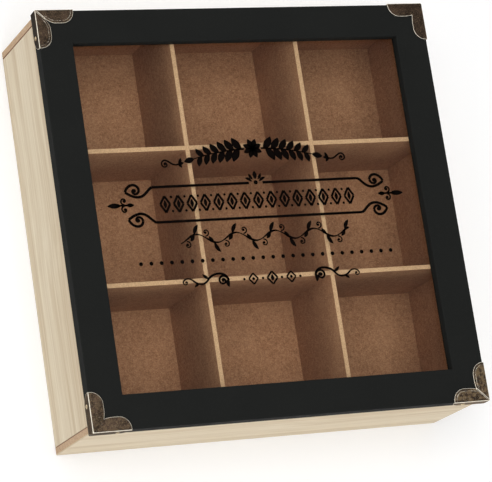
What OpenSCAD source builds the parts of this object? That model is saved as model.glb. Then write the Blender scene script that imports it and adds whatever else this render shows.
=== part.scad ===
// Tea bag organizer box: an open wooden box with nine compartments under a hinged glass lid.
// Frame: Z up, the base panel's underside at Z = 0, X to the right and Y to the back.
// The origin is the middle of the lid's square, seen from above. All sizes are in millimetres.

/* [Lid frame] */
// Outer side of the square lid
lid_side = 240; // [200:1:300]
// Thickness of the lid frame
lid_thick = 8; // [7:0.5:12]
// Width of each frame member, seen from above
rail_w = 19.5; // [16:0.5:28]
// Bevel on the long top edges of the frame
arris = 0.5; // [0.2:0.1:1]

/* [Glass] */
// Thickness of the glass pane
glass_thick = 2; // [1.5:0.1:2.5]
// How far the frame's lip covers the rebate that takes the glass
rebate_w = 5; // [4:0.5:8]
// Thickness of the beads that hold the glass up in its rebate
bead_thick = 1.5; // [1:0.1:2]
// Space between the pane's edge and the rebate's wall
glass_play = 0.5; // [0.2:0.1:1]

/* [Box] */
// Height of the four boards, from the ground to the rim
body_h = 62.3; // [45:0.1:90]
// Thickness of the boards
board_t = 4.5; // [4:0.5:8]
// How far the lid stands out over the front and the sides; it is flush at the back
overhang = 1.3; // [0:0.1:3]
// Thickness of the base panel, which sits inside the boards
base_t = 3; // [2:0.5:5]
// Gap between the rim and the closed lid
lid_gap = 0.2; // [0.1:0.1:0.5]

/* [Dividers] */
// Thickness of the dividers
divider_t = 2.5; // [2:0.5:4]
// How far the dividers' top edges lie below the rim
divider_drop = 0; // [0:0.5:6]
// Play on each side of a divider in its slot
slot_play = 0.05; // [0.03:0.01:0.2]

/* [Corner guards] */
// Thickness of the pressed sheet
sheet_t = 0.6; // [0.4:0.1:0.8]
// Reach of each arm along the lid's edge
guard_leg = 22; // [18:0.5:28]
// Width of each arm on the lid's top
guard_arm = 7.4; // [5:0.1:9]
// Height of the wings on the lid's edges
guard_wing = 7.6; // [6:0.1:8]
// Radius of the arms' rounded ends
guard_round = 7; // [4:0.5:7]
// Distance of the nails from the lid's corner
nail_reach = 15; // [10:0.5:16]

/* [Hinges] */
// Width of each hinge
hinge_w = 20; // [16:1:30]
// Distance between the middles of the two hinges
hinge_spacing = 130; // [80:1:160]
// Thickness of the hinge leaves
leaf_t = 0.6; // [0.5:0.1:0.6]
// Drop of the lower leaf from the pin, on the back board
leaf_down = 9; // [8:0.5:14]
// Rise of the upper leaf from the pin, on the lid's edge
leaf_up = 5.5; // [5.2:0.1:6.5]
// Outer radius of the knuckles
knuckle_r = 1.1; // [1.1:0.1:1.6]
// Radius of the hinge pin
pin_r = 0.5; // [0.4:0.05:0.5]
// Length of the middle knuckle, which turns with the lid
knuckle_mid = 8; // [6:0.5:9]

/* [Hidden] */
$fn = 48;

// A hair more than nothing, so that a cut reaches past the face it opens
past = 0.5;

// Plan of the box under the lid
lid_half = lid_side / 2;
box_x = lid_half - overhang;
box_front = -lid_half + overhang;
box_back = lid_half;
inner_x = box_x - board_t;
inner_front = box_front + board_t;
inner_back = box_back - board_t;
inner_w = 2 * inner_x;
inner_d = inner_back - inner_front;

// Heights in the lid
lid_z = body_h + lid_gap;
lid_top = lid_z + lid_thick;
rebate_h = glass_thick + bead_thick;

// The rebate's wall and the glass, measured inward from the lid's edge
rebate_wall = rail_w - rebate_w;
glass_side = lid_side - 2 * (rebate_wall + glass_play);
bead_w = rebate_w - 0.5;

// Three equal cells each way
cell_w = (inner_w - 2 * divider_t) / 3;
cell_d = (inner_d - 2 * divider_t) / 3;
divider_h = body_h - divider_drop - base_t;
divider_x = (cell_w + divider_t) / 2;
divider_mid_y = (inner_front + inner_back) / 2;
divider_y = (cell_d + divider_t) / 2;
slot_w = divider_t + 2 * slot_play;

// Hinge pin line, just behind the back faces and level with the gap under the lid
knuckle_play = 0.1;
pin_y = box_back + knuckle_r + knuckle_play;
pin_z = body_h + lid_gap / 2;
leaf_back = -(knuckle_r + knuckle_play);
leaf_corner_r = 1.5;
knuckle_gap = 0.15;
pin_hold_play = 0.02;
pin_run_play = 0.05;
pin_head_r = 0.9;
pin_head_l = 0.4;

// Nails and screws
head_r = 1.3;
head_h = 0.6;
nail_r = 0.45;
nail_in_rail = 7;
screw_r = 0.6;
screw_in_board = 3;
screw_in_rail = 8;
screw_x = 6.3;
screw_down = 5.8;
screw_up = 3.2;
drill_play = 0.02;
driver_slot = 0.35;
guard_seam_w = 0.5;

// Small fasteners

// Domed head on a straight shank. The head rests on Z = 0 and the shank points down.
module domed_nail(shank_r, shank_l) {
    dome_r = (head_r * head_r + head_h * head_h) / (2 * head_h);
    rotate_extrude()
        union() {
            intersection() {
                translate([0, head_h - dome_r]) circle(r = dome_r);
                square([head_r, head_h]);
            }
            translate([0, -shank_l]) square([shank_r, shank_l + head_h / 2]);
        }
}

// The same form with a driver's slot across the head
module slotted_screw(shank_r, shank_l) {
    difference() {
        domed_nail(shank_r, shank_l);
        translate([-head_r, -driver_slot / 2, head_h - driver_slot])
            cube([2 * head_r, driver_slot, head_h]);
    }
}

// Drilled hole for a shank, open at Z = 0 and going down
module drilling(shank_r, depth) {
    translate([0, 0, -depth]) cylinder(r = shank_r + drill_play, h = depth + past);
}

// Places of the two nails of each corner guard, head side out
module at_guard_nails() {
    for (side = [0, 90, 180, 270])
        for (end = [-1, 1])
            rotate([0, 0, side])
                translate([end * (lid_half - nail_reach), -lid_half, lid_z + lid_thick / 2])
                    rotate([90, 0, 0]) children();
}

// Places of the screws of both hinges on a face at back_y, at a height over or under the pin
module at_hinge_screws(rise, back_y) {
    for (hinge = [-1, 1])
        for (end = [-1, 1])
            translate([hinge * hinge_spacing / 2 + end * screw_x, back_y, pin_z + rise])
                rotate([-90, 0, 0]) children();
}

// Box

// Front and back boards run the full width; their raw ends show on the sides
module front_board() {
    color("#d8c8a8")
        translate([-box_x, box_front, 0]) cube([2 * box_x, board_t, body_h]);
}

module back_board() {
    color("#d8c8a8")
        difference() {
            translate([-box_x, inner_back, 0]) cube([2 * box_x, board_t, body_h]);
            at_hinge_screws(-screw_down, box_back) drilling(screw_r, screw_in_board);
        }
}

// Side boards butt between the front and the back
module side_board(side) {
    color("#d8c8a8")
        translate([side > 0 ? inner_x : -box_x, inner_front, 0]) cube([board_t, inner_d, body_h]);
}

module base_panel() {
    color("#8c6446")
        translate([-inner_x, inner_front, 0]) cube([inner_w, inner_d, base_t]);
}

// Divider from left to right, slotted from above at both crossings
module cross_divider(side) {
    color("#8c6446")
        translate([0, divider_mid_y + side * divider_y, base_t])
            difference() {
                translate([-inner_x, -divider_t / 2, 0]) cube([inner_w, divider_t, divider_h]);
                for (end = [-1, 1])
                    translate([end * divider_x - slot_w / 2, -divider_t, divider_h / 2])
                        cube([slot_w, 2 * divider_t, divider_h]);
            }
}

// Divider from front to back, slotted from below at both crossings
module upright_divider(side) {
    color("#8c6446")
        translate([side * divider_x, divider_mid_y, base_t])
            difference() {
                translate([-divider_t / 2, -inner_d / 2, 0]) cube([divider_t, inner_d, divider_h]);
                for (end = [-1, 1])
                    translate([-divider_t, end * divider_y - slot_w / 2, -divider_h / 2])
                        cube([2 * divider_t, slot_w, divider_h]);
            }
}

// Lid

// Section of a frame member: Y from the lid's outer edge inward, Z up, with the rebate below
module rail_section() {
    polygon([
        [0, 0],
        [rebate_wall, 0],
        [rebate_wall, rebate_h],
        [rail_w, rebate_h],
        [rail_w, lid_thick - arris],
        [rail_w - arris, lid_thick],
        [arris, lid_thick],
        [0, lid_thick - arris]
    ]);
}

// Straight strip with the section that is given, its ends cut at 45 degrees
module mitred_strip(length, height) {
    intersection() {
        translate([-length / 2, 0, 0])
            rotate([90, 0, 90])
                linear_extrude(length) children();
        linear_extrude(height)
            polygon([[-length / 2, 0], [length / 2, 0], [0, length / 2]]);
    }
}

// Frame member on one edge of the lid: 0 front, 90 right, 180 back, 270 left
module lid_member(side) {
    color("#222322")
        difference() {
            rotate([0, 0, side])
                translate([0, -lid_half, lid_z])
                    mitred_strip(lid_side, lid_thick) rail_section();
            at_guard_nails() drilling(nail_r, nail_in_rail);
            if (side == 180) at_hinge_screws(screw_up, box_back) drilling(screw_r, screw_in_rail);
        }
}

module glass_pane() {
    color("#cfe0dc", 0.35)
        translate([-glass_side / 2, -glass_side / 2, lid_z + bead_thick])
            cube([glass_side, glass_side, glass_thick]);
}

// Strip under the pane, in the rebate of one edge of the lid
module glass_bead(side) {
    color("#222322")
        rotate([0, 0, side])
            translate([0, -lid_half + rebate_wall, lid_z])
                mitred_strip(lid_side - 2 * rebate_wall, bead_thick) square([bead_w, bead_thick]);
}

// Corner guards

// Cuts the square corner at [length, width] of a tab to the arms' rounded end
module round_end_cut(length, width) {
    difference() {
        translate([length - guard_round, width - guard_round]) square(guard_round + past);
        translate([length - guard_round, width - guard_round]) circle(r = guard_round);
    }
}

// One arm along +X, folded over the edge: the sheet lies on Z = 0 and on Y = 0
module guard_arm_folded() {
    difference() {
        rotate([90, 0, 90])
            linear_extrude(guard_leg)
                union() {
                    square([guard_arm, sheet_t]);
                    translate([-sheet_t, -guard_wing]) square([sheet_t, guard_wing]);
                    intersection() {
                        circle(r = sheet_t);
                        translate([-sheet_t, 0]) square(sheet_t);
                    }
                }
        translate([0, 0, -past]) linear_extrude(sheet_t + 2 * past) round_end_cut(guard_leg, guard_arm);
        rotate([90, 0, 0])
            mirror([0, 1, 0])
                translate([0, 0, -past])
                    linear_extrude(sheet_t + 2 * past) round_end_cut(guard_leg, guard_wing);
    }
}

// Whole guard with its outer corner at the origin, its arms along +X and +Y
module corner_guard() {
    difference() {
        union() {
            guard_arm_folded();
            mirror([1, -1, 0]) guard_arm_folded();
            translate([-sheet_t, -sheet_t, -guard_wing]) corner_bend();
        }
        guard_seam();
        for (turn = [0, 1])
            mirror([turn, -turn, 0])
                translate([nail_reach, 0, -lid_thick / 2])
                    rotate([90, 0, 0]) cylinder(r = nail_r + drill_play, h = 3 * sheet_t, center = true);
    }
}

// The upright bend at the corner, closed by a small ball on top
module corner_bend() {
    intersection() {
        translate([sheet_t, sheet_t, 0])
            union() {
                cylinder(r = sheet_t, h = guard_wing);
                translate([0, 0, guard_wing]) sphere(r = sheet_t);
            }
        cube([sheet_t, sheet_t, guard_wing + sheet_t]);
    }
}

// Shallow groove where the two arms meet, from the inner notch to the corner
module guard_seam() {
    translate([0, 0, sheet_t])
        rotate([0, 0, 45])
            rotate([45, 0, 0])
                translate([sheet_t, -guard_seam_w / 2, -guard_seam_w / 2])
                    cube([2 * guard_arm, guard_seam_w, guard_seam_w]);
}

// Guard on one corner of the lid: left or right (-1, 1), front or back (-1, 1)
module placed_guard(end_x, end_y) {
    color("#5a4e3a")
        translate([end_x * lid_half, end_y * lid_half, lid_top])
            mirror([end_x > 0 ? 1 : 0, 0, 0])
                mirror([0, end_y > 0 ? 1 : 0, 0]) corner_guard();
}

module guard_nails() {
    color("#8a7a55")
        at_guard_nails() translate([0, 0, sheet_t]) domed_nail(nail_r, sheet_t + nail_in_rail);
}

// Hinges, each drawn about its pin: X along the pin, Y out of the back, Z up

// Flat plate of a leaf against the wood, from the pin to its rounded far end
module leaf_plate(reach) {
    translate([0, leaf_back + leaf_t, 0])
        rotate([90, 0, 0])
            linear_extrude(leaf_t)
                union() {
                    translate([-hinge_w / 2, 0]) square([hinge_w, reach - leaf_corner_r]);
                    translate([-hinge_w / 2 + leaf_corner_r, 0])
                        square([hinge_w - 2 * leaf_corner_r, reach]);
                    for (end = [-1, 1])
                        translate([end * (hinge_w / 2 - leaf_corner_r), reach - leaf_corner_r])
                            circle(r = leaf_corner_r);
                }
}

module barrel(from_x, length, radius) {
    translate([from_x, 0, 0]) rotate([0, 90, 0]) cylinder(r = radius, h = length);
}

module screw_holes(rise) {
    for (end = [-1, 1])
        translate([end * screw_x, leaf_back + leaf_t / 2, rise])
            rotate([90, 0, 0]) cylinder(r = screw_r + pin_run_play, h = 2 * leaf_t, center = true);
}

// Lower leaf, with the two outer knuckles that hold the pin
module lower_leaf(hinge) {
    mid_room = knuckle_mid + 2 * knuckle_gap;
    outer_l = (hinge_w - mid_room) / 2;
    color("#8a7440")
        translate([hinge * hinge_spacing / 2, pin_y, pin_z])
            difference() {
                union() {
                    difference() {
                        mirror([0, 0, 1]) leaf_plate(leaf_down);
                        translate([-mid_room / 2, -3 * knuckle_r, -knuckle_r - knuckle_play])
                            cube([mid_room, 4 * knuckle_r, 2 * knuckle_r]);
                    }
                    barrel(-hinge_w / 2, outer_l, knuckle_r);
                    barrel(hinge_w / 2 - outer_l, outer_l, knuckle_r);
                }
                barrel(-hinge_w, 2 * hinge_w, pin_r + pin_hold_play);
                screw_holes(-screw_down);
            }
}

// Upper leaf, with the middle knuckle that turns on the pin
module upper_leaf(hinge) {
    color("#8a7440")
        translate([hinge * hinge_spacing / 2, pin_y, pin_z])
            difference() {
                union() {
                    difference() {
                        leaf_plate(leaf_up);
                        for (end = [0, 1])
                            mirror([end, 0, 0])
                                translate([knuckle_mid / 2, -3 * knuckle_r, -knuckle_r])
                                    cube([hinge_w, 4 * knuckle_r, 2 * knuckle_r + knuckle_play]);
                    }
                    barrel(-knuckle_mid / 2, knuckle_mid, knuckle_r);
                }
                barrel(-hinge_w, 2 * hinge_w, pin_r + pin_run_play);
                screw_holes(screw_up);
            }
}

// Pin with a peened head at each end
module hinge_pin(hinge) {
    color("#9a9a96")
        translate([hinge * hinge_spacing / 2, pin_y, pin_z])
            union() {
                barrel(-hinge_w / 2 - pin_head_l, hinge_w + 2 * pin_head_l, pin_r);
                barrel(-hinge_w / 2 - pin_head_l, pin_head_l, pin_head_r);
                barrel(hinge_w / 2, pin_head_l, pin_head_r);
            }
}

module hinge_box_screws() {
    color("#8a7440")
        at_hinge_screws(-screw_down, box_back + leaf_t) slotted_screw(screw_r, leaf_t + screw_in_board);
}

module hinge_lid_screws() {
    color("#8a7440")
        at_hinge_screws(screw_up, box_back + leaf_t) slotted_screw(screw_r, leaf_t + screw_in_rail);
}

front_board();
back_board();
side_board(-1);  // left_board
side_board(1);  // right_board
base_panel();
cross_divider(-1);  // cross_divider_front
cross_divider(1);  // cross_divider_back
upright_divider(-1);  // upright_divider_left
upright_divider(1);  // upright_divider_right
lid_member(0);  // lid_front_rail
lid_member(90);  // lid_right_stile
lid_member(180);  // lid_back_rail
lid_member(270);  // lid_left_stile
glass_pane();
glass_bead(0);  // bead_front
glass_bead(90);  // bead_right
glass_bead(180);  // bead_back
glass_bead(270);  // bead_left
placed_guard(-1, -1);  // guard_front_left
placed_guard(1, -1);  // guard_front_right
placed_guard(-1, 1);  // guard_back_left
placed_guard(1, 1);  // guard_back_right
guard_nails();
lower_leaf(-1);  // hinge_left_lower_leaf
upper_leaf(-1);  // hinge_left_upper_leaf
hinge_pin(-1);  // hinge_left_pin
lower_leaf(1);  // hinge_right_lower_leaf
upper_leaf(1);  // hinge_right_upper_leaf
hinge_pin(1);  // hinge_right_pin
hinge_box_screws();
hinge_lid_screws();
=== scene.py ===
import math

import bmesh
import bpy
import numpy as np
from mathutils import Matrix, Vector


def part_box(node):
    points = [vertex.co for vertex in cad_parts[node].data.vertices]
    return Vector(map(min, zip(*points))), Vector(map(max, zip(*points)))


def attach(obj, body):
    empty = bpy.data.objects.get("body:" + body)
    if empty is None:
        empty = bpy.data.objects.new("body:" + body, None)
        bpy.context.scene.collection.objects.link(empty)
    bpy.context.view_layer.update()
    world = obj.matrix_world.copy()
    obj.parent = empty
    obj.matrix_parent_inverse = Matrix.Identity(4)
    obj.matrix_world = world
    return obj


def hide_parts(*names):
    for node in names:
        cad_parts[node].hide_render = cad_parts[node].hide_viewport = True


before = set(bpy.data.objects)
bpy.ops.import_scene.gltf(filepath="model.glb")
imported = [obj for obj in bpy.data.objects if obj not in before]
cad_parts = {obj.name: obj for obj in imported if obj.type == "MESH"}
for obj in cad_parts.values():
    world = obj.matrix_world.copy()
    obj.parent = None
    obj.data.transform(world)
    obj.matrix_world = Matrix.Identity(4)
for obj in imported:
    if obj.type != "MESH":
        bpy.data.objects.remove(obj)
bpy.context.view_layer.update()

# Viewpoint. A long lens looks down on the box from over its front left corner, and is rolled
# a little, so that the square lid stands askew in the frame.
MM = 0.001
lens_mm = 197.4086
film_mm = 36.0
eye_mm = (-604.82, -361.86, 1421.05)
looked_at_mm = (-14.65, -18.65, 70.5)
sight_m = 50
roll = math.radians(-8.784)


def aim(place, target, turn=0.0):
    """World matrix of something that looks from place to target. Right is the view direction
    crossed with +Y, up is right crossed with the view direction, and turn rolls both."""
    ahead = (target - place).normalized()
    right = ahead.cross(Vector((0, 1, 0))).normalized()
    up = right.cross(ahead)
    rolled_right = right * math.cos(turn) + up * math.sin(turn)
    rolled_up = up * math.cos(turn) - right * math.sin(turn)
    axes = Matrix((rolled_right, rolled_up, -ahead)).transposed()
    return Matrix.Translation(place) @ axes.to_4x4()


camera = bpy.data.cameras.new("camera")
camera.lens = lens_mm
camera.sensor_width = film_mm
camera.clip_end = sight_m
camera_object = bpy.data.objects.new("camera", camera)
camera_object.matrix_world = aim(Vector(eye_mm) * MM, Vector(looked_at_mm) * MM, roll)
bpy.context.scene.collection.objects.link(camera_object)
bpy.context.scene.camera = camera_object
bpy.context.scene.view_settings.view_transform = "Standard"

# Studio. Three large softboxes, one overhead that draws the box's shadow close to its front,
# one high in front and one high on the left, in a white room whose ceiling is dark, so that
# the glass mirrors little.
overhead_place = (-0.14, 0.145, 1.50)
overhead_side = 0.9
overhead_watts = 7.5
front_place = (-0.30, -0.90, 1.90)
front_side = 1.0
front_watts = 8.6
left_place = (-0.95, -0.10, 1.80)
left_side = 1.0
left_watts = 6.4
wall_light = 2.1
ceiling_light = 0.12
wall_top = 0.32
ceiling_start = 0.55
lamp_target = (0, 0, 0.07)


def softbox(name, place, side, watts):
    """A square area lamp aimed at the middle of the lid."""
    lamp = bpy.data.lights.new(name, "AREA")
    lamp.shape = "SQUARE"
    lamp.size = side
    lamp.energy = watts
    lamp_object = bpy.data.objects.new(name, lamp)
    lamp_object.matrix_world = aim(Vector(place), Vector(lamp_target))
    bpy.context.scene.collection.objects.link(lamp_object)


softbox("overhead_softbox", overhead_place, overhead_side, overhead_watts)
softbox("front_softbox", front_place, front_side, front_watts)
softbox("left_softbox", left_place, left_side, left_watts)


def add_node(tree, kind, inputs=None, **settings):
    """Adds a node, sets its properties, and gives each named or numbered input a value or,
    where it is handed another node's output, a link."""
    node = tree.nodes.new(kind)
    for name, value in settings.items():
        setattr(node, name, value)
    for name, value in (inputs or {}).items():
        if isinstance(value, bpy.types.NodeSocket):
            tree.links.new(value, node.inputs[name])
        else:
            node.inputs[name].default_value = value
    return node


def maths(tree, operation, first, second):
    """The output of a Math node: first operation second."""
    return add_node(tree, "ShaderNodeMath", {0: first, 1: second}, operation=operation).outputs[0]


def between(tree, value, low, high, to_low=0.0, to_high=1.0):
    """Value carried from low..high to to_low..to_high on a straight line and held at the ends."""
    inputs = {"Value": value, "From Min": low, "From Max": high}
    inputs.update({"To Min": to_low, "To Max": to_high})
    return add_node(tree, "ShaderNodeMapRange", inputs).outputs[0]


room = bpy.data.worlds.new("white_room")
room.use_nodes = True
bpy.context.scene.world = room
room_tree = room.node_tree
room_tree.nodes.clear()
skyward = add_node(room_tree, "ShaderNodeTexCoord").outputs["Generated"]
skyward = add_node(room_tree, "ShaderNodeSeparateXYZ", {0: skyward}).outputs["Z"]
room_strength = between(room_tree, skyward, wall_top, ceiling_start, wall_light, ceiling_light)
room_light = add_node(room_tree, "ShaderNodeBackground", {"Strength": room_strength})
add_node(room_tree, "ShaderNodeOutputWorld", {"Surface": room_light.outputs[0]})

# Floor: a white sheet of matt board that takes the soft shadow in front of the box. The camera,
# glass and metal see it a little lighter, and no more light reaches the box for it.
floor_side = 30.0
floor_colour = (0.80, 0.80, 0.805, 1)
floor_lift = 0.28
floor_roughness = 0.9


def new_material(name):
    """A material with a Principled shader wired to its output, and its node tree."""
    material = bpy.data.materials.new(name)
    material.use_nodes = True
    tree = material.node_tree
    tree.nodes.clear()
    shader = add_node(tree, "ShaderNodeBsdfPrincipled")
    add_node(tree, "ShaderNodeOutputMaterial", {"Surface": shader.outputs[0]})
    return material, tree, shader


def new_piece(name, points, faces, materials):
    """A mesh object at the origin, from points in millimetres."""
    mesh = bpy.data.meshes.new(name)
    mesh.from_pydata((np.asarray(points, float) * MM).tolist(), [], faces)
    for material in materials:
        mesh.materials.append(material)
    piece = bpy.data.objects.new(name, mesh)
    bpy.context.scene.collection.objects.link(piece)
    return piece


floor_material, tree, shader = new_material("white_floor_board")
shader.inputs["Base Color"].default_value = floor_colour
shader.inputs["Roughness"].default_value = floor_roughness
shader.inputs["Emission Color"].default_value = (1, 1, 1, 1)
rays = add_node(tree, "ShaderNodeLightPath").outputs
seen = maths(tree, "MAXIMUM", rays["Is Camera Ray"], rays["Is Glossy Ray"])
seen = maths(tree, "MAXIMUM", seen, rays["Is Transmission Ray"])
tree.links.new(maths(tree, "MULTIPLY", seen, floor_lift), shader.inputs["Emission Strength"])
half = floor_side / 2 / MM
corners = [(-half, -half, 0), (half, -half, 0), (half, half, 0), (-half, half, 0)]
floor = new_piece("floor", corners, [(0, 1, 2, 3)], [floor_material])

# Boards: four lengths of thin board with butt joints, a pale wood veneer outside and brown
# fibreboard inside. The front and back boards' sawn ends show on the sides, with the veneer as
# a fine pale line and a darker skin on the inside.
board_arris = 0.4
veneer_skin = 0.45
inner_skin = 3.9
skin_fade = 0.1
arris_steps = 6
flat_face = 0.97
# The side boards' veneer is a little darker than the front and back boards': partly its own tone,
# partly painted shade on the sides.
side_veneer_with_shade = ((184, 161, 128), (203, 186, 157), (220, 208, 183))
front_veneer_with_light = ((193, 168, 134), (212, 194, 163), (226, 211, 184))
band_share = 0.5
dark_tones = (0.05, 0.50)
light_tones = (0.45, 0.95)
sawn_colour = (187, 158, 128)
sawn_fleck = (156, 126, 98)
sawn_light = (210, 182, 150)
skin_brown = (112, 72, 50)
brown_colour = (174, 124, 87)
brown_fleck = (128, 86, 58)
brown_light = (206, 158, 118)
pore_share = 0.4
pore_relief = 0.03
veneer_gloss = (0.62, 0.48)
fleck_shares = {"fine": 0.9, "broad": 0.4}
light_shares = {"fine": 0.7, "broad": 0.35, "clouds": 0.2}
fibre_gloss = (0.72, 0.88)
fibre_relief = 0.05
fibre_shine = 0.3


def paint(red, green, blue):
    """A colour given in 0..255 as it looks on a screen, in linear light: ((c + 0.055) / 1.055)
    to the power 2.4, or c / 12.92 where c is small."""
    seen_light = np.array((red, green, blue)) / 255
    linear = np.where(
        seen_light > 0.04045, ((seen_light + 0.055) / 1.055) ** 2.4, seen_light / 12.92
    )
    return (*linear.tolist(), 1)


def new_group(name, wanted, given):
    """A shader node group with named inputs and outputs, and its two end nodes."""
    group = bpy.data.node_groups.new(name, "ShaderNodeTree")
    for socket, kind in wanted.items():
        group.interface.new_socket(socket, in_out="INPUT", socket_type=kind)
    for socket, kind in given.items():
        group.interface.new_socket(socket, in_out="OUTPUT", socket_type=kind)
    return group, group.nodes.new("NodeGroupInput"), group.nodes.new("NodeGroupOutput")


def noise(tree, vector, scale=1.0, detail=3.0, roughness=0.5):
    """The grey output of a Noise node over a vector in metres."""
    inputs = {"Vector": vector, "Scale": scale, "Detail": detail, "Roughness": roughness}
    return add_node(tree, "ShaderNodeTexNoise", inputs).outputs[0]


def stretched(tree, vector, along, across):
    """The vector times (along, across, across), so that a pattern runs out along X."""
    inputs = {0: vector, 1: (along, across, across)}
    return add_node(tree, "ShaderNodeVectorMath", inputs, operation="MULTIPLY").outputs[0]


# Grain that runs along X: broad growth bands that wander a little, finer streaks, short pores.
# Each pair gives how often the pattern turns in a metre along the grain and across it.
drift_turns = (7, 12)
band_turns = (3, 115)
streak_turns = (10, 560)
pore_turns = (75, 2100)
drift_reach = 0.012
noise_middle = 0.5
band_contrast = (0.32, 0.68)
streak_contrast = (0.30, 0.70)
pore_contrast = (0.60, 0.74)
grain_group, start, end = new_group(
    "wood_grain",
    {"Vector": "NodeSocketVector"},
    {"Band": "NodeSocketFloat", "Streak": "NodeSocketFloat", "Pore": "NodeSocketFloat"},
)
position = start.outputs["Vector"]
drift = noise(grain_group, stretched(grain_group, position, *drift_turns), detail=1)
drift = maths(grain_group, "SUBTRACT", drift, noise_middle)
drift = maths(grain_group, "MULTIPLY", drift, drift_reach)
sideways = add_node(grain_group, "ShaderNodeCombineXYZ", {"Y": drift, "Z": drift}).outputs[0]
position = add_node(grain_group, "ShaderNodeVectorMath", {0: position, 1: sideways}).outputs[0]
band = noise(grain_group, stretched(grain_group, position, *band_turns), detail=2)
streak = stretched(grain_group, position, *streak_turns)
streak = noise(grain_group, streak, detail=5, roughness=0.6)
pore = noise(grain_group, stretched(grain_group, position, *pore_turns), detail=2)
grain_group.links.new(between(grain_group, band, *band_contrast), end.inputs["Band"])
grain_group.links.new(between(grain_group, streak, *streak_contrast), end.inputs["Streak"])
grain_group.links.new(between(grain_group, pore, *pore_contrast), end.inputs["Pore"])

# Mottle for pressed, painted and cast surfaces: soft clouds, and specks of their own size
mottle_contrast = (0.32, 0.68)
cloud_relief = 0.3
mottle_group, start, end = new_group(
    "mottle",
    {"Vector": "NodeSocketVector", "Clouds": "NodeSocketFloat", "Specks": "NodeSocketFloat"},
    {"Cloud": "NodeSocketFloat", "Speck": "NodeSocketFloat", "Height": "NodeSocketFloat"},
)
cloud = noise(mottle_group, start.outputs["Vector"], start.outputs["Clouds"], detail=3)
speck_scale = start.outputs["Specks"]
speck = noise(mottle_group, start.outputs["Vector"], speck_scale, detail=4, roughness=0.65)
height = maths(mottle_group, "ADD", maths(mottle_group, "MULTIPLY", cloud, cloud_relief), speck)
mottle_group.links.new(between(mottle_group, cloud, *mottle_contrast), end.inputs["Cloud"])
mottle_group.links.new(between(mottle_group, speck, *mottle_contrast), end.inputs["Speck"])
mottle_group.links.new(height, end.inputs["Height"])


def mottle(tree, clouds, specks):
    """The mottle group's outputs over the piece, with so many clouds and specks to a metre."""
    position = add_node(tree, "ShaderNodeTexCoord").outputs["Object"]
    inputs = {"Vector": position, "Clouds": clouds, "Specks": specks}
    return add_node(tree, "ShaderNodeGroup", inputs, node_tree=mottle_group).outputs


def attribute(tree, name):
    """The value of a piece's point attribute."""
    return add_node(tree, "ShaderNodeAttribute", attribute_name=name).outputs["Fac"]


def mixed(tree, share, first, second):
    """The colour first * (1 - share) + second * share."""
    node = add_node(tree, "ShaderNodeMix", {0: share, 6: first, 7: second}, data_type="RGBA")
    return node.outputs[2]


def bump(tree, height, depth_mm, shader):
    """Bump of the height, which is one unit for depth_mm, on the shader's normal."""
    inputs = {"Height": height, "Distance": depth_mm * MM, "Strength": 1}
    node = add_node(tree, "ShaderNodeBump", inputs)
    tree.links.new(node.outputs[0], shader.inputs["Normal"])


def veneer(name, turn_deg, low, middle, high):
    """Pale veneer: streaks and bands along X after the turn about Z, over a fine pore bump."""
    material, tree, shader = new_material(name)
    position = add_node(tree, "ShaderNodeTexCoord").outputs["Object"]
    turned = add_node(tree, "ShaderNodeMapping", {"Vector": position})
    turned.inputs["Rotation"].default_value = (0, 0, math.radians(turn_deg))
    inputs = {"Vector": turned.outputs[0]}
    grain = add_node(tree, "ShaderNodeGroup", inputs, node_tree=grain_group).outputs
    tone = maths(tree, "MULTIPLY", grain["Band"], band_share)
    tone = maths(tree, "ADD", tone, maths(tree, "MULTIPLY", grain["Streak"], 1 - band_share))
    colour = mixed(tree, between(tree, tone, *dark_tones), paint(*low), paint(*middle))
    colour = mixed(tree, between(tree, tone, *light_tones), colour, paint(*high))
    in_pore = maths(tree, "MULTIPLY", grain["Pore"], pore_share)
    colour = mixed(tree, in_pore, colour, paint(*low))
    tree.links.new(colour, shader.inputs["Base Color"])
    gloss = between(tree, grain["Streak"], 0, 1, *veneer_gloss)
    tree.links.new(gloss, shader.inputs["Roughness"])
    relief = maths(tree, "SUBTRACT", grain["Streak"], grain["Pore"])
    bump(tree, relief, pore_relief, shader)
    return material


def fibre(name, body, fleck, light):
    """Pressed fibreboard: brown with clouds, dark and light flecks a millimetre or two wide."""
    material, tree, shader = new_material(name)
    broad = mottle(tree, clouds=60, specks=520)
    fine = mottle(tree, clouds=420, specks=1500)
    colour = paint(*body)
    for value, low, high, share, tint in (
        (fine["Speck"], 0.5, 1, fleck_shares["fine"], fleck),
        (fine["Speck"], 0.45, 0, light_shares["fine"], light),
        (broad["Speck"], 0.5, 1, fleck_shares["broad"], fleck),
        (broad["Speck"], 0.5, 0, light_shares["broad"], light),
        (broad["Cloud"], 0.4, 1, light_shares["clouds"], light),
    ):
        colour = mixed(tree, between(tree, value, low, high, 0, share), colour, paint(*tint))
    tree.links.new(colour, shader.inputs["Base Color"])
    tree.links.new(between(tree, fine["Speck"], 0, 1, *fibre_gloss), shader.inputs["Roughness"])
    shader.inputs["Specular IOR Level"].default_value = fibre_shine
    bump(tree, fine["Height"], fibre_relief, shader)
    return material, tree, shader


def lay_over(tree, shader, share, colour):
    """Mixes a colour, by share, over the one that the shader has so far."""
    under = shader.inputs["Base Color"].links[0].from_socket
    tree.links.new(mixed(tree, share, under, colour), shader.inputs["Base Color"])


veneer_across = veneer("pale_veneer_across", 0, *front_veneer_with_light)
veneer_deep = veneer("pale_veneer_deep", 90, *side_veneer_with_shade)
brown_board = fibre("brown_fibreboard", brown_colour, brown_fleck, brown_light)[0]
sawn_board, tree, shader = fibre("sawn_board_edge", sawn_colour, sawn_fleck, sawn_light)
depth = attribute(tree, "depth")
in_veneer = between(tree, depth, veneer_skin + skin_fade, veneer_skin)
lay_over(tree, shader, in_veneer, paint(*side_veneer_with_shade[1]))
in_skin = between(tree, depth, inner_skin, inner_skin + 1.5 * skin_fade)
lay_over(tree, shader, in_skin, paint(*skin_brown))


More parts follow.
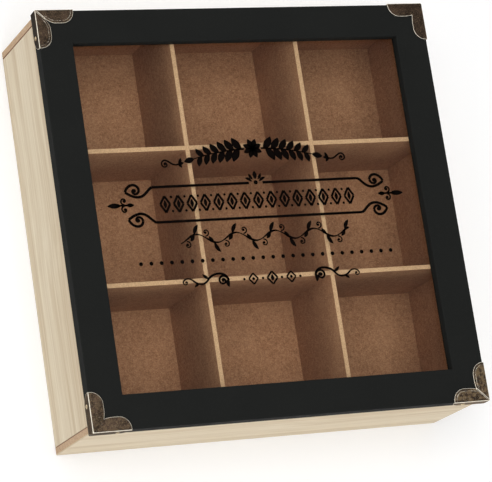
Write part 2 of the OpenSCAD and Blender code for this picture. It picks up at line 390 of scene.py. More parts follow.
def soft_bar(low, high, run, radius):
    """A bar with every edge rounded to the radius. Its section is a rectangle with quarter
    circles at the corners; near each end the circles shrink as radius * sin(a) while the
    section moves on by radius * (1 - cos(a))."""
    first, second = [axis for axis in range(3) if axis != run]
    angle = np.linspace(0, math.pi / 2, arris_steps)
    inset = radius * (1 - np.cos(angle))
    place = np.concatenate((low[run] + inset, high[run] - inset[::-1]))
    grow = np.concatenate((np.sin(angle), np.sin(angle[::-1]))) * radius
    around = np.concatenate([angle + quarter * math.pi / 2 for quarter in range(4)])
    signs = np.repeat(np.array([(1, 1), (-1, 1), (-1, -1), (1, -1)]), arris_steps, axis=0)
    middle = (low + high) / 2
    reach = (high - low) / 2 - radius
    points = np.zeros((len(place), len(around), 3))
    points[:, :, run] = place[:, None]
    for axis, sign, swing in ((first, signs[:, 0], np.cos), (second, signs[:, 1], np.sin)):
        points[:, :, axis] = middle[axis] + sign * reach[axis] + np.outer(grow, swing(around))
    return points


def ring_faces(rings, around):
    """Quads between neighbouring rings of a grid that closes on itself, with an end cap each."""
    ring, step = np.meshgrid(np.arange(rings - 1), np.arange(around), indexing="ij")
    here = ring * around + step
    aside = ring * around + (step + 1) % around
    quads = np.stack((here, aside, aside + around, here + around), axis=-1).reshape(-1, 4).tolist()
    first_cap = list(range(around))[::-1]
    last_cap = list(range((rings - 1) * around, rings * around))
    return quads + [first_cap, last_cap]


def tidy_mesh(piece, merge_mm=0.0005):
    """Merges doubles, drops faces without area and turns the faces of a closed mesh outwards."""
    work = bmesh.new()
    work.from_mesh(piece.data)
    bmesh.ops.remove_doubles(work, verts=work.verts, dist=merge_mm * MM)
    bmesh.ops.dissolve_degenerate(work, edges=work.edges, dist=merge_mm * MM)
    bmesh.ops.recalc_face_normals(work, faces=work.faces)
    work.to_mesh(piece.data)
    work.free()


def board(node, run, outward, veneer_material):
    """A board in the place of its CAD node: veneer on the face that looks outward, brown
    fibreboard on the face that looks into the box, sawn board on its edges. The depth attribute
    is a point's distance from the outer face, in millimetres."""
    low, high = (np.array(corner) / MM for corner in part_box(node))
    points = soft_bar(low, high, run, board_arris)
    faces = ring_faces(points.shape[0], points.shape[1])
    materials = [veneer_material, brown_board, sawn_board]
    piece = new_piece(node + "_veneered", points.reshape(-1, 3), faces, materials)
    tidy_mesh(piece)
    outward = np.array(outward, float)
    normals = np.zeros(len(piece.data.polygons) * 3)
    piece.data.polygons.foreach_get("normal", normals)
    facing = normals.reshape(-1, 3) @ outward
    choice = np.where(facing > flat_face, 0, np.where(facing < -flat_face, 1, 2))
    piece.data.polygons.foreach_set("material_index", choice)
    places = np.zeros(len(piece.data.vertices) * 3)
    piece.data.vertices.foreach_get("co", places)
    height = places.reshape(-1, 3) @ outward / MM
    depth = piece.data.attributes.new("depth", "FLOAT", "POINT")
    depth.data.foreach_set("value", height.max() - height)
    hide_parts(node)
    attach(piece, "box")


board("front_board", 0, (0, -1, 0), veneer_across)
board("back_board", 0, (0, 1, 0), veneer_across)
board("left_board", 1, (-1, 0, 0), veneer_deep)
board("right_board", 1, (1, 0, 0), veneer_deep)

# Base panel and dividers: thin brown fibreboard. The dividers are slotted halfway through and
# pushed into each other. Their sawn top edges are paler than their faces: partly the sawn
# fibre, partly a painted highlight of the light that falls on the tops.
edge_fade = 0.08
divider_colour = (170, 123, 88)
# Top edge colours: the sawn fibre and a painted highlight of the light on the tops.
edge_low_with_light = (182, 139, 100)
edge_high_with_light = (226, 186, 144)
dividers = [
    "cross_divider_front",
    "cross_divider_back",
    "upright_divider_left",
    "upright_divider_right",
]


def finish_node(node, material):
    """Gives a carried-over CAD node its material."""
    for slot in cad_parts[node].material_slots:
        slot.material = material


divider_board, tree, shader = fibre("divider_fibreboard", divider_colour, brown_fleck, brown_light)
divider_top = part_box(dividers[0])[1].z
position = add_node(tree, "ShaderNodeTexCoord").outputs["Object"]
height = add_node(tree, "ShaderNodeSeparateXYZ", {0: position}).outputs["Z"]
# The top edges are laid paler: sawn fibre and painted highlight together.
on_edge = between(tree, height, divider_top - 2 * edge_fade * MM, divider_top - edge_fade * MM)
saw_marks = mottle(tree, clouds=300, specks=1900)
edge_colour_with_light = mixed(tree, saw_marks["Speck"], paint(*edge_low_with_light), paint(*edge_high_with_light))
lay_over(tree, shader, on_edge, edge_colour_with_light)
for divider in dividers:
    finish_node(divider, divider_board)
finish_node("base_panel", brown_board)

# Lid frame: four rebated members mitred at the corners and sprayed satin black, with beads of
# the same finish that hold the pane from below.
black_colour = (32, 33, 32)
black_worn = (44, 45, 43)
cloud_wear = 0.12
dust_start = 0.75
dust_wear = 0.4
paint_gloss = (0.44, 0.56)
paint_shine = 0.008
paint_relief = 0.02
lid_members = ["lid_front_rail", "lid_back_rail", "lid_left_stile", "lid_right_stile"]
beads = ["bead_front", "bead_back", "bead_left", "bead_right"]

black_paint, tree, shader = new_material("satin_black_paint")
spray = mottle(tree, clouds=28, specks=2600)
dust = mottle(tree, clouds=130, specks=900)
clouded = between(tree, spray["Cloud"], 0, 1, 0, cloud_wear)
colour = mixed(tree, clouded, paint(*black_colour), paint(*black_worn))
dusty = between(tree, dust["Speck"], dust_start, 1, 0, dust_wear)
tree.links.new(mixed(tree, dusty, colour, paint(*black_worn)), shader.inputs["Base Color"])
tree.links.new(between(tree, dust["Cloud"], 0, 1, *paint_gloss), shader.inputs["Roughness"])
shader.inputs["Specular IOR Level"].default_value = paint_shine
bump(tree, spray["Height"], paint_relief, shader)
for member in lid_members + beads:
    finish_node(member, black_paint)

# Glass pane: clear float glass with its faint green, let into the rebate from below and held
# there by the beads. Shadow and diffuse rays pass through it, so that the cells stay lit.
glass_tint = (0.975, 0.99, 0.983, 1)
glass_index = 1.5
smear_start = 0.6
smear_roughness = 0.02

glass_material, tree, shader = new_material("clear_float_glass")
shader.inputs["Base Color"].default_value = glass_tint
shader.inputs["Transmission Weight"].default_value = 1.0
shader.inputs["IOR"].default_value = glass_index
smears = mottle(tree, clouds=22, specks=160)
smear = between(tree, smears["Cloud"], smear_start, 1, 0, smear_roughness)
tree.links.new(smear, shader.inputs["Roughness"])
rays = add_node(tree, "ShaderNodeLightPath").outputs
let_through = maths(tree, "MAXIMUM", rays["Is Shadow Ray"], rays["Is Diffuse Ray"])
clear = add_node(tree, "ShaderNodeBsdfTransparent", {"Color": glass_tint})
glass_surface = add_node(
    tree, "ShaderNodeMixShader", {0: let_through, 1: shader.outputs[0], 2: clear.outputs[0]}
)
output = next(node for node in tree.nodes if node.type == "OUTPUT_MATERIAL")
tree.links.new(glass_surface.outputs[0], output.inputs["Surface"])
finish_node("glass_pane", glass_material)

# Print on the glass: one coat of black ink, screened on the upper face. It is plain ornament of
# leaves, lozenges, scrolls and a vine, laid as strokes that are each a path with a width.
ink_gap = 0.004
ink_thick = 0.03
ink_colour = (8, 4, 3)
ink_wear = 0.1
ink_gloss = (0.40, 0.60)
ink_shine = 0.01
ink_relief = 0.01
spiral_inner = 0.12
spiral_thinning = 0.35
glass_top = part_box("glass_pane")[1].z / MM

strokes = []


def stroke(path, half_width):
    """A stroke of ink along a path in millimetres on the glass: its edges are the path plus and
    minus half_width times the path's normal, which is its direction turned by a quarter."""
    path = np.asarray(path, float)
    step = np.gradient(path, axis=0)
    normal = np.column_stack((-step[:, 1], step[:, 0]))
    normal /= np.linalg.norm(normal, axis=1, keepdims=True)
    side = normal * (np.ones(len(path)) * half_width)[:, None]
    strokes.append((path + side, path - side))


def both_sides(draw, middle=0.0):
    """Draws the right half of a motif about the line x = middle, and mirrors it to the left."""
    kept = len(strokes)
    draw()
    halves = strokes[kept:]
    strokes[kept:] = [(left + (middle, 0), right + (middle, 0)) for left, right in halves]
    for left, right in halves:
        strokes.append((right * (-1, 1) + (middle, 0), left * (-1, 1) + (middle, 0)))


def bend(points, count=40):
    """Points of the Bezier curve with these four control points:
    (1-t)^3 a + 3 t (1-t)^2 b + 3 t^2 (1-t) c + t^3 d."""
    a, b, c, d = (np.array(point, float) for point in points)
    t = np.linspace(0, 1, count)[:, None]
    return (1 - t) ** 3 * a + 3 * t * (1 - t) ** 2 * b + 3 * t**2 * (1 - t) * c + t**3 * d


def leaf(root, angle_deg, length, half_width, curl=0.0):
    """A leaf: a path that leaves its root at the angle and bows by curl, as wide as
    half_width * sin(pi t) ^ 0.8 along it."""
    t = np.linspace(0, 1, 22)
    angle = math.radians(angle_deg)
    along = np.column_stack((length * t, curl * 4 * t * (1 - t)))
    turn = np.array(((math.cos(angle), math.sin(angle)), (-math.sin(angle), math.cos(angle))))
    width = half_width * np.sin(math.pi * np.clip(t, 0.004, 0.996)) ** 0.8
    stroke(np.array(root) + along @ turn, width)


def dot(middle, radius):
    """A round dot: a path of length 2 radius, as wide as the circle is at each point."""
    angle = np.linspace(0.03, math.pi - 0.03, 20)
    path = np.column_stack((middle[0] - radius * np.cos(angle), np.full(20, middle[1])))
    stroke(path, radius * np.sin(angle))


def scroll(eye, radius, start_deg, turns, width, eye_dot):
    """A spiral about its eye: the radius falls from radius to spiral_inner * radius as the angle
    runs from start_deg over the turns, and the stroke thins towards the eye, where a dot sits."""
    t = np.linspace(0, 1, 70)
    angle = math.radians(start_deg) + turns * 2 * math.pi * t
    reach = radius * (1 - (1 - spiral_inner) * t**0.85)
    path = np.array(eye) + np.column_stack((np.cos(angle), np.sin(angle))) * reach[:, None]
    stroke(path, width / 2 * (1 - spiral_thinning * t))
    dot(eye, eye_dot)


def lozenge(middle, half_across, half_high, width):
    """The outline of a lozenge: one stroke for each of its sides."""
    x, y = middle
    tips = [(x + half_across, y), (x, y + half_high), (x - half_across, y), (x, y - half_high)]
    for start_tip, end_tip in zip(tips, tips[1:] + tips[:1]):
        stroke(np.linspace(start_tip, end_tip, 4), width / 2)


# Arched garland over the panel
garland_top = 36.6
garland_sag = 4.6
garland_reach = 36
stem_start = 5.2
stem_end = 37
stem_half = 0.55
stem_taper = 1 / 128
leaf_start = 6.5
leaf_end = 34
leaf_spacing = 4.7
leaf_lag = 1.4
leaf_spread = 54
leaf_length = 8.4
leaf_half = 2.15
leaf_curl = 0.7
leaf_swell = 1.12
leaf_shrink = 0.012
petals = 8
petal_turn = 360 / petals
petal_length = 6.0
petal_half = 1.6


def arch(x):
    """Height of the garland's stem: garland_top - garland_sag * (x / garland_reach)^2."""
    return garland_top - garland_sag * (x / garland_reach) ** 2


def garland_half():
    """Stem and leaves of the right half of the garland, and its loose curl. The stem thins by
    stem_taper a millimetre; the leaves stand off the stem's slope by leaf_spread on both sides,
    and shrink along it as leaf_swell - leaf_shrink * x."""
    stem_x = np.linspace(stem_start, stem_end, 40)
    stem = np.column_stack((stem_x, arch(stem_x)))
    stroke(stem, stem_half - stem_taper * (stem_x - stem_start))
    for root_x in np.arange(leaf_start, leaf_end, leaf_spacing):
        slope = math.degrees(math.atan(-2 * garland_sag * root_x / garland_reach**2))
        size = leaf_swell - leaf_shrink * root_x
        for x, side in ((root_x, 1), (root_x + leaf_lag, -1)):
            turn = slope + side * leaf_spread
            leaf((x, arch(x)), turn, leaf_length * size, leaf_half * size, -side * leaf_curl)
    leaf((36.4, arch(36.4)), -14, 6.6, 1.7)
    scroll((54.6, 29.3), 2.4, 90, -1.4, 1.0, 0.65)
    stroke(bend([(54.6, 31.7), (51.5, 31.5), (50.5, 27.6), (46.2, 29.2)]), 0.5)
    leaf((46.6, 29.1), 118, 4.1, 0.9, 0.4)
    leaf((46.6, 29.1), 168, 3.6, 0.9)
    leaf((46.9, 29.0), 222, 3.2, 0.8, -0.4)


both_sides(garland_half)
for petal in range(petals):
    leaf((0, arch(0)), (petal + 0.5) * petal_turn, petal_length, petal_half)
dot((0, arch(0)), 1.5)

# Panel with scrolled corners, a fan on its top line and a spearhead at each end
panel_middle = -1.2
panel_top = 16.3
panel_bottom = -4.1
panel_end = 63.2
panel_line = 1.55
heavy_stroke = 1.6
tip_out = 79.6
spear_level = 6.5


def panel_half():
    """The right half of the panel's lines, its two corner scrolls, its spearhead and its fan."""
    stroke([(4.2, panel_top), (30, panel_top), (panel_end, panel_top)], panel_line / 2)
    stroke([(0, panel_bottom), (30, panel_bottom), (panel_end, panel_bottom)], panel_line / 2)
    for line, turn in ((panel_top, 1), (panel_bottom, -1)):
        tip = (tip_out, line - turn * 2.3)
        sweep = [(panel_end, line), (67, line - turn), (69, line - turn * 10), tip]
        stroke(bend(sweep), heavy_stroke / 2)
        brow = [tip, (77.8, line + turn * 2.6), (72, line + turn * 3.2), (71.2, line - turn * 1.2)]
        stroke(bend(brow), heavy_stroke / 2)
        scroll((74.0, line - turn * 1.6), 2.8, turn * 172, turn * 0.85, heavy_stroke, 1.15)
    for turn in (1, -1):
        scroll((81.0, spear_level + turn * 2.5), 2.2, -turn * 90, turn * 1.2, 1.1, 0.75)
    stroke([(75.4, spear_level), (80, spear_level), (86, spear_level)], 0.55)
    leaf((82.6, spear_level), 0, 8.6, 1.5)
    leaf((79.9, spear_level), 180, 4.6, 1.2)
    leaf((1.5, 18.3), 58, 4.2, 0.85, -0.3)
    leaf((2.2, 17.0), 30, 4.7, 0.85, 0.4)


both_sides(panel_half, panel_middle)
dot((panel_middle, panel_top + 0.2), 1.25)
leaf((panel_middle, panel_top + 2.0), 90, 5.0, 1.3)

# A row of lozenges fills the panel
lozenges_aside = 7
lozenge_step = 8.1
lozenge_level = 6.1
lozenge_half_across = 2.9
lozenge_half_high = 4.8
lozenge_line = 1.4
lozenge_leaf = 5.0
stud_rise = 4.1
for column in range(-lozenges_aside, lozenges_aside + 1):
    middle = (panel_middle + column * lozenge_step, lozenge_level)
    lozenge(middle, lozenge_half_across, lozenge_half_high, lozenge_line)
    leaf((middle[0], lozenge_level - lozenge_leaf / 2), 90, lozenge_leaf, 1.05)
    if column < lozenges_aside:
        for level in (lozenge_level + stud_rise, lozenge_level - stud_rise):
            dot((middle[0] + lozenge_step / 2, level), 0.75)

# A thin vine under the panel, with a scroll and a pair of leaves in turn at its shoots
vine_level = -14.8
vine_swing = 2.6
vine_wave = 24
vine_end = 52
vine_half = 0.5
vine_swell = 0.18
shoot_step = 5.8
shoot_start = 3


def vine(x):
    """Height of the vine: vine_level + vine_swing * sin(2 pi x / vine_wave)."""
    return vine_level + vine_swing * np.sin(2 * math.pi * x / vine_wave)


vine_x = np.linspace(-vine_end, vine_end, 240)
half_width = vine_half + vine_swell * np.sin(4 * math.pi * vine_x / vine_wave)
stroke(np.column_stack((vine_x, vine(vine_x))), half_width)
for shoot in range(-9, 9):
    shoot_x = shoot * shoot_step + shoot_start
    rising = 1 if vine(shoot_x) > vine_level else -1
    if shoot % 2:
        eye = (shoot_x + 1.3, vine(shoot_x) + rising * 2.5)
        scroll(eye, 2.2, -rising * 100, rising * 1.25, 0.85, 0.6)
    else:
        leaf((shoot_x, vine(shoot_x)), 62 * rising, 6.6, 1.2, 0.5 * rising)
        leaf((shoot_x, vine(shoot_x)), -128 * rising, 4.6, 1.05, 0.3)

# A line of dots from side to side
dot_start = -77.4
dot_step = 6.14
dot_level = -27.5
dots = 26
dot_radius = 1.15
for column in range(dots):
    dot((dot_start + column * dot_step, dot_level), dot_radius)

# Three lozenges between two flourishes at the foot
foot_level = -39.5


def foot_half():
    """The right flourish: a heavy scroll, a wave that thins, and a small scroll at its end."""
    scroll((30.0, foot_level), 3.3, 180, -1.6, 1.4, 0.8)
    leaf((26.3, -38.6), -84, 4.8, 1.15, 0.8)
    stroke(bend([(26.7, -39.2), (28.0, -33.8), (36.0, -34.6), (39.0, -38.6)]), 0.65)
    stroke(bend([(38.9, -38.5), (41.7, -42.2), (45.5, -41.2), (48.1, -38.6)]), 0.55)
    stroke(bend([(48.1, -38.6), (50.5, -36.4), (53.7, -37.4), (54.1, -39.6)]), 0.45)
    scroll((52.4, foot_level), 1.7, 0, -1.0, 0.65, 0.55)
    leaf((38.3, -38.0), 38, 4.6, 0.9, -0.4)
    leaf((44.5, -40.6), -32, 3.6, 0.75, 0.3)
    lozenge((11.6, foot_level), 2.8, 3.2, 1.0)
    dot((11.6, foot_level), 0.85)
    dot((17.2, foot_level), 0.75)
    dot((5.8, foot_level), 0.75)


both_sides(foot_half)
lozenge((0, foot_level), 3.2, 3.7, 1.1)
leaf((0, foot_level - 2), 90, 4.0, 1.0)

ink_points = []
ink_faces = []
for left, right in strokes:
    count = len(left)
    low = np.full((count, 1), glass_top + ink_gap)
    high = low + ink_thick
    ring = [(left, high), (left, low), (right, low), (right, high)]
    section = np.stack([np.hstack(pair) for pair in ring], axis=1)
    offset = sum(len(points) for points in ink_points)
    ink_points.append(section.reshape(-1, 3))
    ink_faces += [[corner + offset for corner in face] for face in ring_faces(count, 4)]

ink, tree, shader = new_material("black_screen_ink")
coat = mottle(tree, clouds=600, specks=3800)
worn = maths(tree, "MULTIPLY", coat["Speck"], ink_wear)
colour = mixed(tree, worn, paint(*ink_colour), paint(*black_worn))
tree.links.new(colour, shader.inputs["Base Color"])
tree.links.new(between(tree, coat["Cloud"], 0, 1, *ink_gloss), shader.inputs["Roughness"])
shader.inputs["Specular IOR Level"].default_value = ink_shine
bump(tree, coat["Height"], ink_relief, shader)
glass_print = new_piece("glass_print", np.concatenate(ink_points), ink_faces, [ink])
tidy_mesh(glass_print, merge_mm=0.0001)
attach(glass_print, "lid")

# Corner guards: thin steel pressed over the lid's corners, plated antique bronze. Each is one
# sheet folded down on two sides. Cut edges, folds, the pressed line and the seam are painted pale,
# for rubbed wear and painted highlight together; the seam's painted highlight is stronger on some.
sheet = 0.6
metal_thick = 0.36
arm_reach = 22.0
arm_width = 7.5
end_radius = 7.0
wing_height = 7.6
rim_roll = 0.22
rim_band = 0.34
bead_inset = 1.5
bead_depth = 0.07
seam_depth = 0.16
roll_fade = 0.5
crease = 0.3
wing_roll = 0.6
seam_beside = 0.34
seam_band = 0.24
bead_band = 0.25
# How pale the pressed line, fold and corner are painted, for rubbed wear and painted highlight.
bead_wear_and_glint = 0.6
fold_wear_and_glint = 0.95
corner_wear_and_glint = 0.8
post_wear_and_glint = 0.35
# How far down the wings the painted shade reaches, in millimetres.
wing_shade_drop = 1.0
columns_to_notch = 26
columns_to_round = 42
columns_round = 26
rows_on_top = 34
rows_in_bend = 7
rows_on_wing = 24
corner_columns = 6
lid_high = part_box("lid_front_rail")[1]
lid_half = lid_high.x / MM
lid_top = lid_high.z / MM
round_start = arm_reach - end_radius


def round_end(x, full):
    """Reach across an arm or wing at x: full, and over the rounded end the height of a circle
    of end_radius that starts from full."""
    circle = np.sqrt(np.clip(end_radius**2 - (x - round_start) ** 2, 0, None))
    return np.where(x > round_start, circle + full - end_radius, full)


def arm_edge(x, notch, swell):
    """Width of an arm on top at the distance x from the corner: x along the diagonal seam, then
    a quarter sine from the notch up to the full width at swell, then the rounded end."""
    rise = np.sin(np.clip((x - notch) / (swell - notch), 0, 1) * math.pi / 2)
    lobe = notch + (arm_width - notch) * rise
    return np.minimum(x, np.where(x > round_start, round_end(x, arm_width), lobe))


def guard_arm(notch, swell, seam_wear_and_glint):
    """Outer surface of one arm along +X, with its corner at the origin. Rows run from the inner
    edge over the top, round a bend of radius sheet, and down the wing. Columns run from the
    corner to the end, and are the sine of an angle over the rounded end. Height on top is
    sheet, less the rolled rim rim_roll * exp(-d / roll_fade) and the pressed line
    bead_depth * exp(-((d - bead_inset) / crease)^2) at distance d from the edge, less the seam
    seam_depth * exp(-(s / crease)^2) at distance s from the diagonal."""
    swing = np.sin(np.linspace(0, math.pi / 2, columns_round))
    x = np.concatenate(
        (
            np.linspace(0, notch, columns_to_notch)[:-1],
            np.linspace(notch, round_start, columns_to_round)[:-1],
            round_start + end_radius * swing,
        )
    )
    width = arm_edge(x, notch, swell)
    share = np.sin(np.linspace(math.pi / 2, 0, rows_on_top))[:, None]
    top_x = np.repeat(x[None, :], rows_on_top, axis=0)
    top_y = share * width[None, :]
    past_round = np.hypot(np.maximum(top_x - round_start, 0), top_y - (arm_width - end_radius))
    from_edge = np.where(top_x > round_start, end_radius - past_round, width[None, :] - top_y)
    beside_notch = np.hypot(top_x - notch, top_y - notch)
    from_edge = np.minimum(np.where(top_x > notch, from_edge, beside_notch), beside_notch)
    from_edge = np.maximum(from_edge, 0)
    from_seam = (top_x - top_y) / math.sqrt(2)
    top_z = sheet - rim_roll * np.exp(-from_edge / roll_fade)
    top_z -= bead_depth * np.exp(-(((from_edge - bead_inset) / crease) ** 2))
    top_z -= seam_depth * np.exp(-((from_seam / crease) ** 2)) * np.clip(top_x, 0, 1)
    top = np.stack((top_x, top_y, top_z), axis=-1)
    # Pale marks on top, at the rims, beside the seam and on the pressed line: rubbed wear and
    # painted highlight together.
    edge_mark = 1 - np.clip(from_edge / rim_band, 0, 1)
    seam_mark = np.clip(1 - np.abs(from_seam - seam_beside) / seam_band, 0, 1)
    seam_mark *= top_x <= notch + crease
    bead_mark = bead_wear_and_glint * np.exp(-(((from_edge - bead_inset) / bead_band) ** 2))
    top_mark = np.maximum(edge_mark, seam_wear_and_glint * np.maximum(seam_mark, bead_mark))

    angle = np.linspace(0, math.pi / 2, rows_in_bend)[1:, None]
    fold_x = np.repeat(x[None, :], rows_in_bend - 1, axis=0)
    fold_y = np.repeat(-sheet * np.sin(angle), len(x), axis=1)
    fold_z = np.repeat(sheet * np.cos(angle), len(x), axis=1)
    fold = np.stack((fold_x, fold_y, fold_z), axis=-1)
    # The fold is painted pale: rubbed wear and painted highlight on the bend.
    fold_mark = np.repeat(fold_wear_and_glint * np.sin(angle * 2) ** 2, len(x), axis=1)

    reach = round_end(x, wing_height)[None, :]
    fall = np.sin(np.linspace(0, math.pi / 2, rows_on_wing))[1:, None]
    wing_x = np.repeat(x[None, :], rows_on_wing - 1, axis=0)
    wing_z = -fall * reach
    past_round = np.hypot(np.maximum(wing_x - round_start, 0), wing_height - end_radius + wing_z)
    to_edge = np.where(wing_x > round_start, end_radius - past_round, reach + wing_z)
    to_edge = np.maximum(to_edge, 0)
    wing_y = -sheet + wing_roll * rim_roll * np.exp(-to_edge / roll_fade)
    wing = np.stack((wing_x, wing_y, wing_z), axis=-1)
    # The wing's cut edge is painted pale: rubbed wear and painted highlight.
    wing_mark = 1 - np.clip(to_edge / rim_band, 0, 1)
    points = np.concatenate((top, fold, wing))
    marks = np.concatenate((top_mark, fold_mark, wing_mark))
    return points, marks


def guard_corner():
    """Half of the rounded corner between the wings, from the arm's start to the middle. Over
    the bend it is a ball of radius sheet, below it a quarter cylinder of the same radius."""
    spin = np.linspace(math.pi / 2, math.pi / 4, corner_columns)[None, :]
    angle = np.linspace(0, math.pi / 2, rows_in_bend)[1:, None]
    ball = np.stack(
        (
            -sheet * np.sin(angle) * np.cos(spin),
            -sheet * np.sin(angle) * np.sin(spin),
            sheet * np.cos(angle) + 0 * spin,
        ),
        axis=-1,
    )
    pole = np.zeros((1, corner_columns, 3))
    pole[:, :, 2] = sheet
    fall = np.sin(np.linspace(0, math.pi / 2, rows_on_wing))[1:, None]
    gap = wing_height * (1 - fall)
    radius = sheet - wing_roll * rim_roll * np.exp(-gap / roll_fade)
    post = np.stack(
        (-radius * np.cos(spin), -radius * np.sin(spin), -wing_height * fall + 0 * spin), axis=-1
    )
    # The corner is painted pale, for rubbed wear and painted highlight.
    pole_mark = np.ones((1, corner_columns))
    ball_mark = np.full((rows_in_bend - 1, corner_columns), corner_wear_and_glint)
    post_mark = np.maximum(post_wear_and_glint, 1 - gap / rim_band) + 0 * spin
    marks = np.concatenate((pole_mark, ball_mark, post_mark))
    return np.concatenate((pole, ball, post)), marks


def sheet_faces(rows, columns):
    """Quads of a grid of rows and columns."""
    row, column = np.meshgrid(np.arange(rows - 1), np.arange(columns - 1), indexing="ij")
    here = row * columns + column
    return np.stack((here, here + 1, here + columns + 1, here + columns), axis=-1).reshape(-1, 4)


antique_dark = (34, 27, 23)
antique_brown = (80, 64, 53)
antique_gold = (144, 122, 92)
# Painted shade on the guards' wings.
wing_shade_colour = (14, 10, 7)
# Pale cream for rubbed wear and painted highlight together.
rubbed_and_glint_colour = (244, 236, 218)
edge_darkening = (0.55, 0.5, 0.44, 1)
plate_metallic = 0.75
rubbed_and_glint_metallic = 0.2
plate_relief = 0.05
gold_start = 0.55
gold_specks = 0.7
gilt_contrast = (0.3, 0.7)
rubbed_and_glint_contrast = (0.22, 0.5)
fleck_start = 0.78
fleck_wear_and_glint = 0.6
speck_bite = 0.35
duller_by = 0.12
brighter_by = 0.1


def aged_metal(name, dark, brown, gold, roughness=0.5):
    """Plated metal gone dark in clouds, with gold showing through in specks that shine more."""
    material, tree, shader = new_material(name)
    age = mottle(tree, clouds=260, specks=1700)
    colour = mixed(tree, age["Cloud"], paint(*dark), paint(*brown))
    golden = between(tree, age["Speck"], gold_start, 1, 0, gold_specks)
    colour = mixed(tree, golden, colour, paint(*gold))
    tree.links.new(colour, shader.inputs["Base Color"])
    dull, bright = roughness + duller_by, roughness - brighter_by
    gloss = between(tree, age["Speck"], 0, 1, dull, bright)
    tree.links.new(gloss, shader.inputs["Roughness"])
    shader.inputs["Metallic"].default_value = plate_metallic
    shader.inputs["Specular Tint"].default_value = edge_darkening
    bump(tree, age["Height"], plate_relief, shader)
    return material, tree, shader


# The guards' attributes: one where a guard is painted pale, for rubbed wear and painted highlight
# together; one where its wings are painted darker, as painted shade; and gilt for how much gold
# it has kept
bronze, tree, shader = aged_metal("antique_bronze", antique_dark, antique_brown, antique_gold)
scuffs = mottle(tree, clouds=420, specks=1100)
gilt = attribute(tree, "gilt")
kept = maths(tree, "MULTIPLY", gilt, between(tree, scuffs["Cloud"], *gilt_contrast))
lay_over(tree, shader, kept, paint(*antique_gold))
# The wings are painted darker as painted shade, more on some guards.
lay_over(tree, shader, attribute(tree, "wing_shade"), paint(*wing_shade_colour))
# Pale cream, and less metallic, for rubbed wear and a painted highlight together.
bitten = maths(tree, "MULTIPLY", scuffs["Speck"], speck_bite)
rubbed_and_glint = maths(tree, "SUBTRACT", attribute(tree, "wear_and_glint"), bitten)
rubbed_and_glint = between(tree, rubbed_and_glint, *rubbed_and_glint_contrast)
# Pale flecks over the gilt: rubbed wear and painted glints together.
flecks = between(tree, scuffs["Speck"], fleck_start, 1, 0, fleck_wear_and_glint)
rubbed_and_glint = maths(tree, "MAXIMUM", rubbed_and_glint, maths(tree, "MULTIPLY", gilt, flecks))
lay_over(tree, shader, rubbed_and_glint, paint(*rubbed_and_glint_colour))
metallic = between(tree, rubbed_and_glint, 0, 1, plate_metallic, rubbed_and_glint_metallic)
tree.links.new(metallic, shader.inputs["Metallic"])


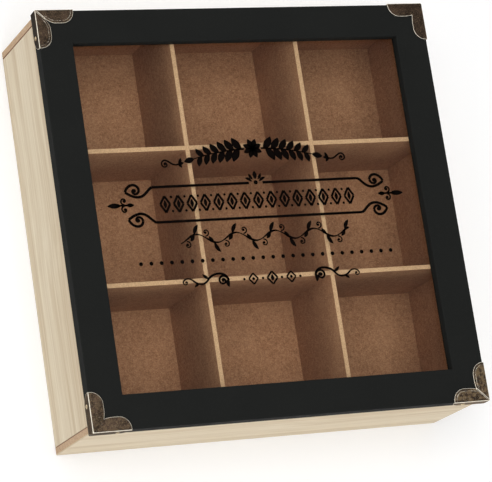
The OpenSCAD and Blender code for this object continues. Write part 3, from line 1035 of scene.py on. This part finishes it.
def guard(node, end_x, end_y, notch, swell, seam_wear_and_glint, gilding, wing_shading):
    """A guard on one corner of the lid. Arms and half corners are laid out once as they are and
    once with x and y swapped, mirrored to the corner, turned to look outwards, and then given
    the metal's thickness inwards. That is less than the CAD's sheet, so that the rolled rim
    stays off the lid."""
    points = []
    marks = []
    quads = []
    for grid, grid_marks in (guard_arm(notch, swell, seam_wear_and_glint), guard_corner()):
        for axes, winding in (([0, 1, 2], 1), ([1, 0, 2], -1)):
            offset = sum(len(flat) for flat in points)
            points.append(grid.reshape(-1, 3)[:, axes])
            marks.append(grid_marks.ravel())
            faces = sheet_faces(grid.shape[0], grid.shape[1]) + offset
            quads += faces[:, ::winding].tolist()
    corner = (end_x * lid_half, end_y * lid_half, lid_top)
    placed = np.concatenate(points) * (-end_x, -end_y, 1) + corner
    piece = new_piece(node + "_pressed", placed, quads, [bronze])
    # Marks for rubbed wear and painted highlight.
    wear_and_glint = piece.data.attributes.new("wear_and_glint", "FLOAT", "POINT")
    wear_and_glint.data.foreach_set("value", np.concatenate(marks))
    gilt = piece.data.attributes.new("gilt", "FLOAT", "POINT")
    gilt.data.foreach_set("value", np.full(len(placed), gilding))
    # Painted shade: darker down the wings from the lid's top.
    wing_shade = piece.data.attributes.new("wing_shade", "FLOAT", "POINT")
    drop = np.clip((lid_top - placed[:, 2]) / wing_shade_drop, 0, 1)
    wing_shade.data.foreach_set("value", drop * wing_shading)
    tidy_mesh(piece, merge_mm=0.002)
    normals = np.zeros(len(piece.data.polygons) * 3)
    piece.data.polygons.foreach_get("normal", normals)
    if normals.reshape(-1, 3)[:, 2].sum() < 0:
        piece.data.flip_normals()
    piece.data.polygons.foreach_set("use_smooth", [True] * len(piece.data.polygons))
    wall = piece.modifiers.new("sheet", "SOLIDIFY")
    wall.thickness = metal_thick * MM
    wall.offset = -1
    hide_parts(node)
    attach(piece, "lid")


# The seam's painted highlight and the painted shade on the wings differ from guard to guard.
guard("guard_front_left", -1, -1, notch=6.8, swell=12, seam_wear_and_glint=0.25, gilding=0.2, wing_shading=0.4)
guard("guard_front_right", 1, -1, notch=6.9, swell=12, seam_wear_and_glint=1.0, gilding=0.65, wing_shading=0.0)
guard("guard_back_left", -1, 1, notch=4.7, swell=11, seam_wear_and_glint=0.9, gilding=0.05, wing_shading=0.95)
guard("guard_back_right", 1, 1, notch=6.9, swell=12, seam_wear_and_glint=0.0, gilding=0.0, wing_shading=0.3)

# Guard nails: small round-headed brass nails, two to a guard, driven through the wings into
# the lid's edges, and paler than the guards.
nail_colours = ((132, 112, 84), (206, 188, 152), (246, 236, 212))
finish_node("guard_nails", aged_metal("aged_nail_brass", *nail_colours, roughness=0.34)[0])

# Hinges: two small butt hinges of brassed steel on the back, screwed to the back board and to
# the lid's edge, each turning on a bright steel pin.
brass_colours = ((120, 96, 52), (176, 146, 84), (212, 184, 120))
steel_colours = ((120, 120, 118), (168, 168, 166), (206, 206, 204))
brass = aged_metal("brassed_hinge_steel", *brass_colours, roughness=0.38)[0]
steel = aged_metal("bright_steel_pin", *steel_colours, roughness=0.3)[0]
for side in ("left", "right"):
    finish_node(f"hinge_{side}_lower_leaf", brass)
    finish_node(f"hinge_{side}_upper_leaf", brass)
    finish_node(f"hinge_{side}_pin", steel)
finish_node("hinge_box_screws", brass)
finish_node("hinge_lid_screws", brass)
